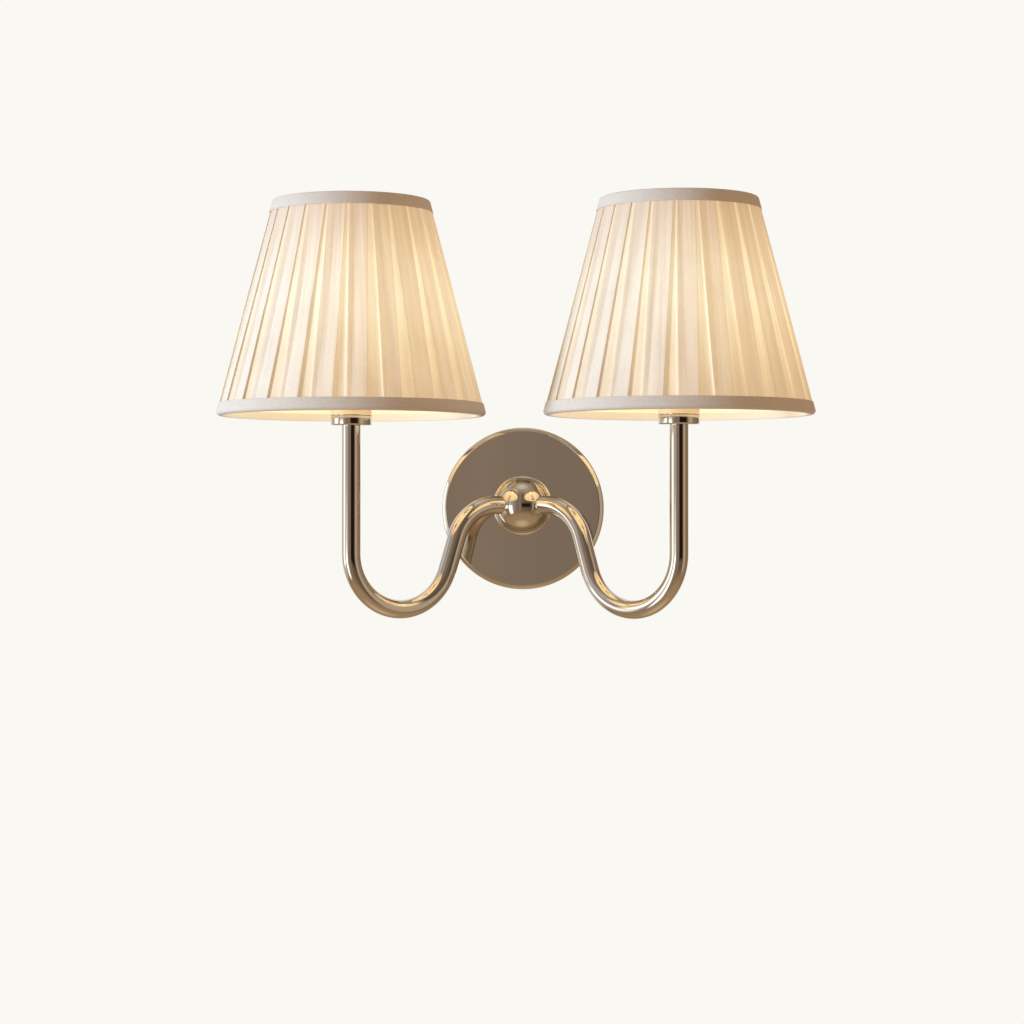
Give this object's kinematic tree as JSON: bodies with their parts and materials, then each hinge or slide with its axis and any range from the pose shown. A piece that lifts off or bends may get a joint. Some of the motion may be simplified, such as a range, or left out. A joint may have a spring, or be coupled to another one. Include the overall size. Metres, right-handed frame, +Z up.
{
  "type": "double arm wall light",
  "caption": "Wall light with a round plate, a ball hub, two curved tube arms swept forward and outward, and two upright candle lamps under pleated cone shades.",
  "frame": {"origin": "centre of the two wall slots, on the wall's surface, which is the centre of the round plate", "axes": "+X along the wall to the right as seen from the room, +Y into the wall, +Z up"},
  "size_m": [0.3792, 0.1824, 0.2663],
  "materials": {
    "nickel": "polished nickel plate",
    "shade_cloth": "pleated ivory cotton",
    "shade_trim": "taupe binding",
    "shade_lining": "translucent cream lining",
    "frame_wire": "white powder coat",
    "sleeve_ivory": "glossy ivory",
    "holder_plastic": "white moulding",
    "terminal_plastic": "white moulding",
    "brass": "plain turned",
    "cap_metal": "drawn",
    "insulator_glass": "black vitrite",
    "solder": "solder",
    "opal_glass": "opal",
    "zinc_steel": "zinc plated",
    "flex_sheath": "white PVC"
  },
  "bodies": {
    "fitting": {"wall_bracket": "zinc_steel", "back_plate": "nickel", "plate_screws": "nickel", "terminal_block": "terminal_plastic", "terminal_barrels": "brass", "terminal_screws": "zinc_steel", "earth_screw": "brass", "earth_washer": "zinc_steel", "hub_collar": "nickel", "hub_ball": "nickel", "hub_nipple": "zinc_steel", "hub_washer": "zinc_steel", "hub_nut": "brass", "left_arm_tube": "nickel", "left_arm_flex": "flex_sheath", "left_stem_nipple": "zinc_steel", "left_lamp_cup": "nickel", "left_lampholder": "holder_plastic", "left_screw_shell": "brass", "left_centre_contact": "brass", "left_candle_sleeve": "sleeve_ivory", "right_arm_tube": "nickel", "right_arm_flex": "flex_sheath", "right_stem_nipple": "zinc_steel", "right_lamp_cup": "nickel", "right_lampholder": "holder_plastic", "right_screw_shell": "brass", "right_centre_contact": "brass", "right_candle_sleeve": "sleeve_ivory"},
    "left_bulb": {"left_bulb_glass": "opal_glass", "left_bulb_cap": "cap_metal", "left_bulb_insulator": "insulator_glass", "left_bulb_contact": "solder"},
    "left_shade": {"left_shade_top_frame": "frame_wire", "left_shade_bottom_ring": "frame_wire", "left_bulb_clip": "frame_wire", "left_shade_lining": "shade_lining", "left_shade_cover": "shade_cloth", "left_shade_bottom_trim": "shade_trim", "left_shade_top_trim": "shade_trim"},
    "right_bulb": {"right_bulb_glass": "opal_glass", "right_bulb_cap": "cap_metal", "right_bulb_insulator": "insulator_glass", "right_bulb_contact": "solder"},
    "right_shade": {"right_shade_top_frame": "frame_wire", "right_shade_bottom_ring": "frame_wire", "right_bulb_clip": "frame_wire", "right_shade_lining": "shade_lining", "right_shade_cover": "shade_cloth", "right_shade_bottom_trim": "shade_trim", "right_shade_top_trim": "shade_trim"}
  },
  "joints": [
    {"name": "left_bulb_turn", "type": "hinge", "parent": "fitting", "child": "left_bulb", "pos_m": [-0.104, -0.09682, 0], "axis": [0, 0, 1], "range_deg": [0, 1800]},
    {"name": "left_shade_lift", "type": "slide", "parent": "left_bulb", "child": "left_shade", "axis": [0, 0, 1], "range_m": [0, 0.12]},
    {"name": "right_bulb_turn", "type": "hinge", "parent": "fitting", "child": "right_bulb", "pos_m": [0.104, -0.09682, 0], "axis": [0, 0, 1], "range_deg": [0, 1800]},
    {"name": "right_shade_lift", "type": "slide", "parent": "right_bulb", "child": "right_shade", "axis": [0, 0, 1], "range_m": [0, 0.12]}
  ]
}
